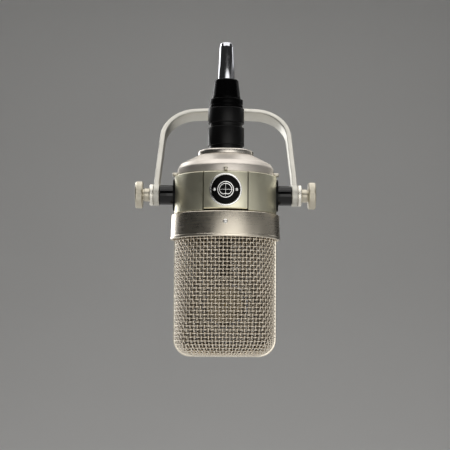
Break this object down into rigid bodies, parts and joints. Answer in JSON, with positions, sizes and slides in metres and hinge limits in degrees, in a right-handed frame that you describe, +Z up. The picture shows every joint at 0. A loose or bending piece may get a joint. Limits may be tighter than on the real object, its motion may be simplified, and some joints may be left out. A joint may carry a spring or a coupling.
{
  "type": "studio valve microphone in yoke bracket",
  "caption": "Large-diaphragm studio microphone, hung grille-down in a tilting U bracket, with wedge-shaped wire grille, thumb screws and a locking cable connector.",
  "frame": {"origin": "centre of the open end face of the bracket's stand boss, where a stand's threaded stud goes in", "axes": "+Z up along the microphone's own axis with the connector on top and the grille below, X along the trunnion axis, the grille's front with the badge faces -Y, and the bracket leans back towards +Y by 28 degrees"},
  "size_m": [0.1316, 0.0951, 0.2314],
  "materials": {
    "satin_nickel": "satin nickel plate, fine turned lines",
    "steel": "plain machined steel",
    "brass": "machined brass",
    "black_anodised": "black anodised, satin",
    "black_gloss": "glossy black",
    "black_enamel": "glossy black enamel",
    "badge_silver": "bright silver",
    "polished_chrome": "polished chrome",
    "nickel_wire": "woven nickel-plated wire",
    "black_insulator": "black moulded insulator",
    "gold_film": "evaporated gold",
    "phenolic": "brown phenolic",
    "valve_glass": "clear glass",
    "circuit_board": "resin-bonded board"
  },
  "bodies": {
    "yoke": {"yoke_bracket": "satin_nickel", "stand_boss": "satin_nickel", "boss_screw": "steel", "pivot_bush_left": "satin_nickel", "pivot_bush_right": "satin_nickel"},
    "microphone": {"housing_band": "satin_nickel", "front_panel": "satin_nickel", "lower_ring": "satin_nickel", "top_cap": "satin_nickel", "cap_screw_front": "satin_nickel", "cap_screw_back": "satin_nickel", "cap_screw_left": "satin_nickel", "cap_screw_right": "satin_nickel", "grille_frame": "satin_nickel", "connector_flange": "satin_nickel", "connector_socket": "satin_nickel", "amplifier_deck": "steel", "amplifier_top_plate": "steel", "amplifier_pillar_1": "steel", "amplifier_pillar_2": "steel", "amplifier_pillar_3": "steel", "pivot_nut_left": "brass", "pivot_nut_right": "brass", "capsule_backplate": "brass", "terminal_screw_front": "brass", "terminal_screw_rear": "brass", "trunnion_seat_left": "black_anodised", "trunnion_seat_right": "black_anodised", "capsule_mount_ring": "black_anodised", "trunnion_spacer_left": "black_gloss", "trunnion_spacer_right": "black_gloss", "badge_plate": "black_enamel", "badge_rim": "badge_silver", "badge_rivet_left": "badge_silver", "badge_rivet_right": "badge_silver", "index_pin": "polished_chrome", "clamp_ring_front": "polished_chrome", "clamp_ring_rear": "polished_chrome", "grille_front": "nickel_wire", "grille_rear": "nickel_wire", "inner_mesh": "nickel_wire", "head_deck": "black_insulator", "capsule_post": "black_insulator", "pin_insert": "black_insulator", "diaphragm_front": "gold_film", "diaphragm_rear": "gold_film", "coupling_capacitor": "gold_film", "valve_socket": "phenolic", "output_transformer": "phenolic", "vacuum_valve": "valve_glass", "circuit_board": "circuit_board"},
    "plug": {"plug_insert": "phenolic", "plug_shell": "black_anodised", "plug_collar": "black_anodised", "gland_nut": "black_anodised", "cable_sleeve": "polished_chrome"},
    "coupling_nut": {"coupling_nut": "black_anodised"},
    "thumb_screw_left": {"thumb_screw_left": "satin_nickel"},
    "thumb_screw_right": {"thumb_screw_right": "satin_nickel"}
  },
  "joints": [
    {"name": "microphone_tilt", "type": "hinge", "parent": "yoke", "child": "microphone", "pos_m": [0, -0.04493, -0.0845], "axis": [1, 0, 0], "range_deg": [-10, 110]},
    {"name": "thumb_screw_left_turn", "type": "hinge", "parent": "microphone", "child": "thumb_screw_left", "pos_m": [-0.06, -0.04493, -0.0845], "axis": [-1, 0, 0], "range_deg": [0, 720]},
    {"name": "thumb_screw_right_turn", "type": "hinge", "parent": "microphone", "child": "thumb_screw_right", "pos_m": [0.06, -0.04493, -0.0845], "axis": [1, 0, 0], "range_deg": [0, 720]},
    {"name": "plug_pull", "type": "slide", "parent": "microphone", "child": "plug", "axis": [0, 0, 1], "range_m": [0, 0.018]},
    {"name": "coupling_nut_turn", "type": "hinge", "parent": "plug", "child": "coupling_nut", "pos_m": [0, -0.04493, -0.0445], "axis": [0, 0, 1], "range_deg": [0, 720]}
  ]
}
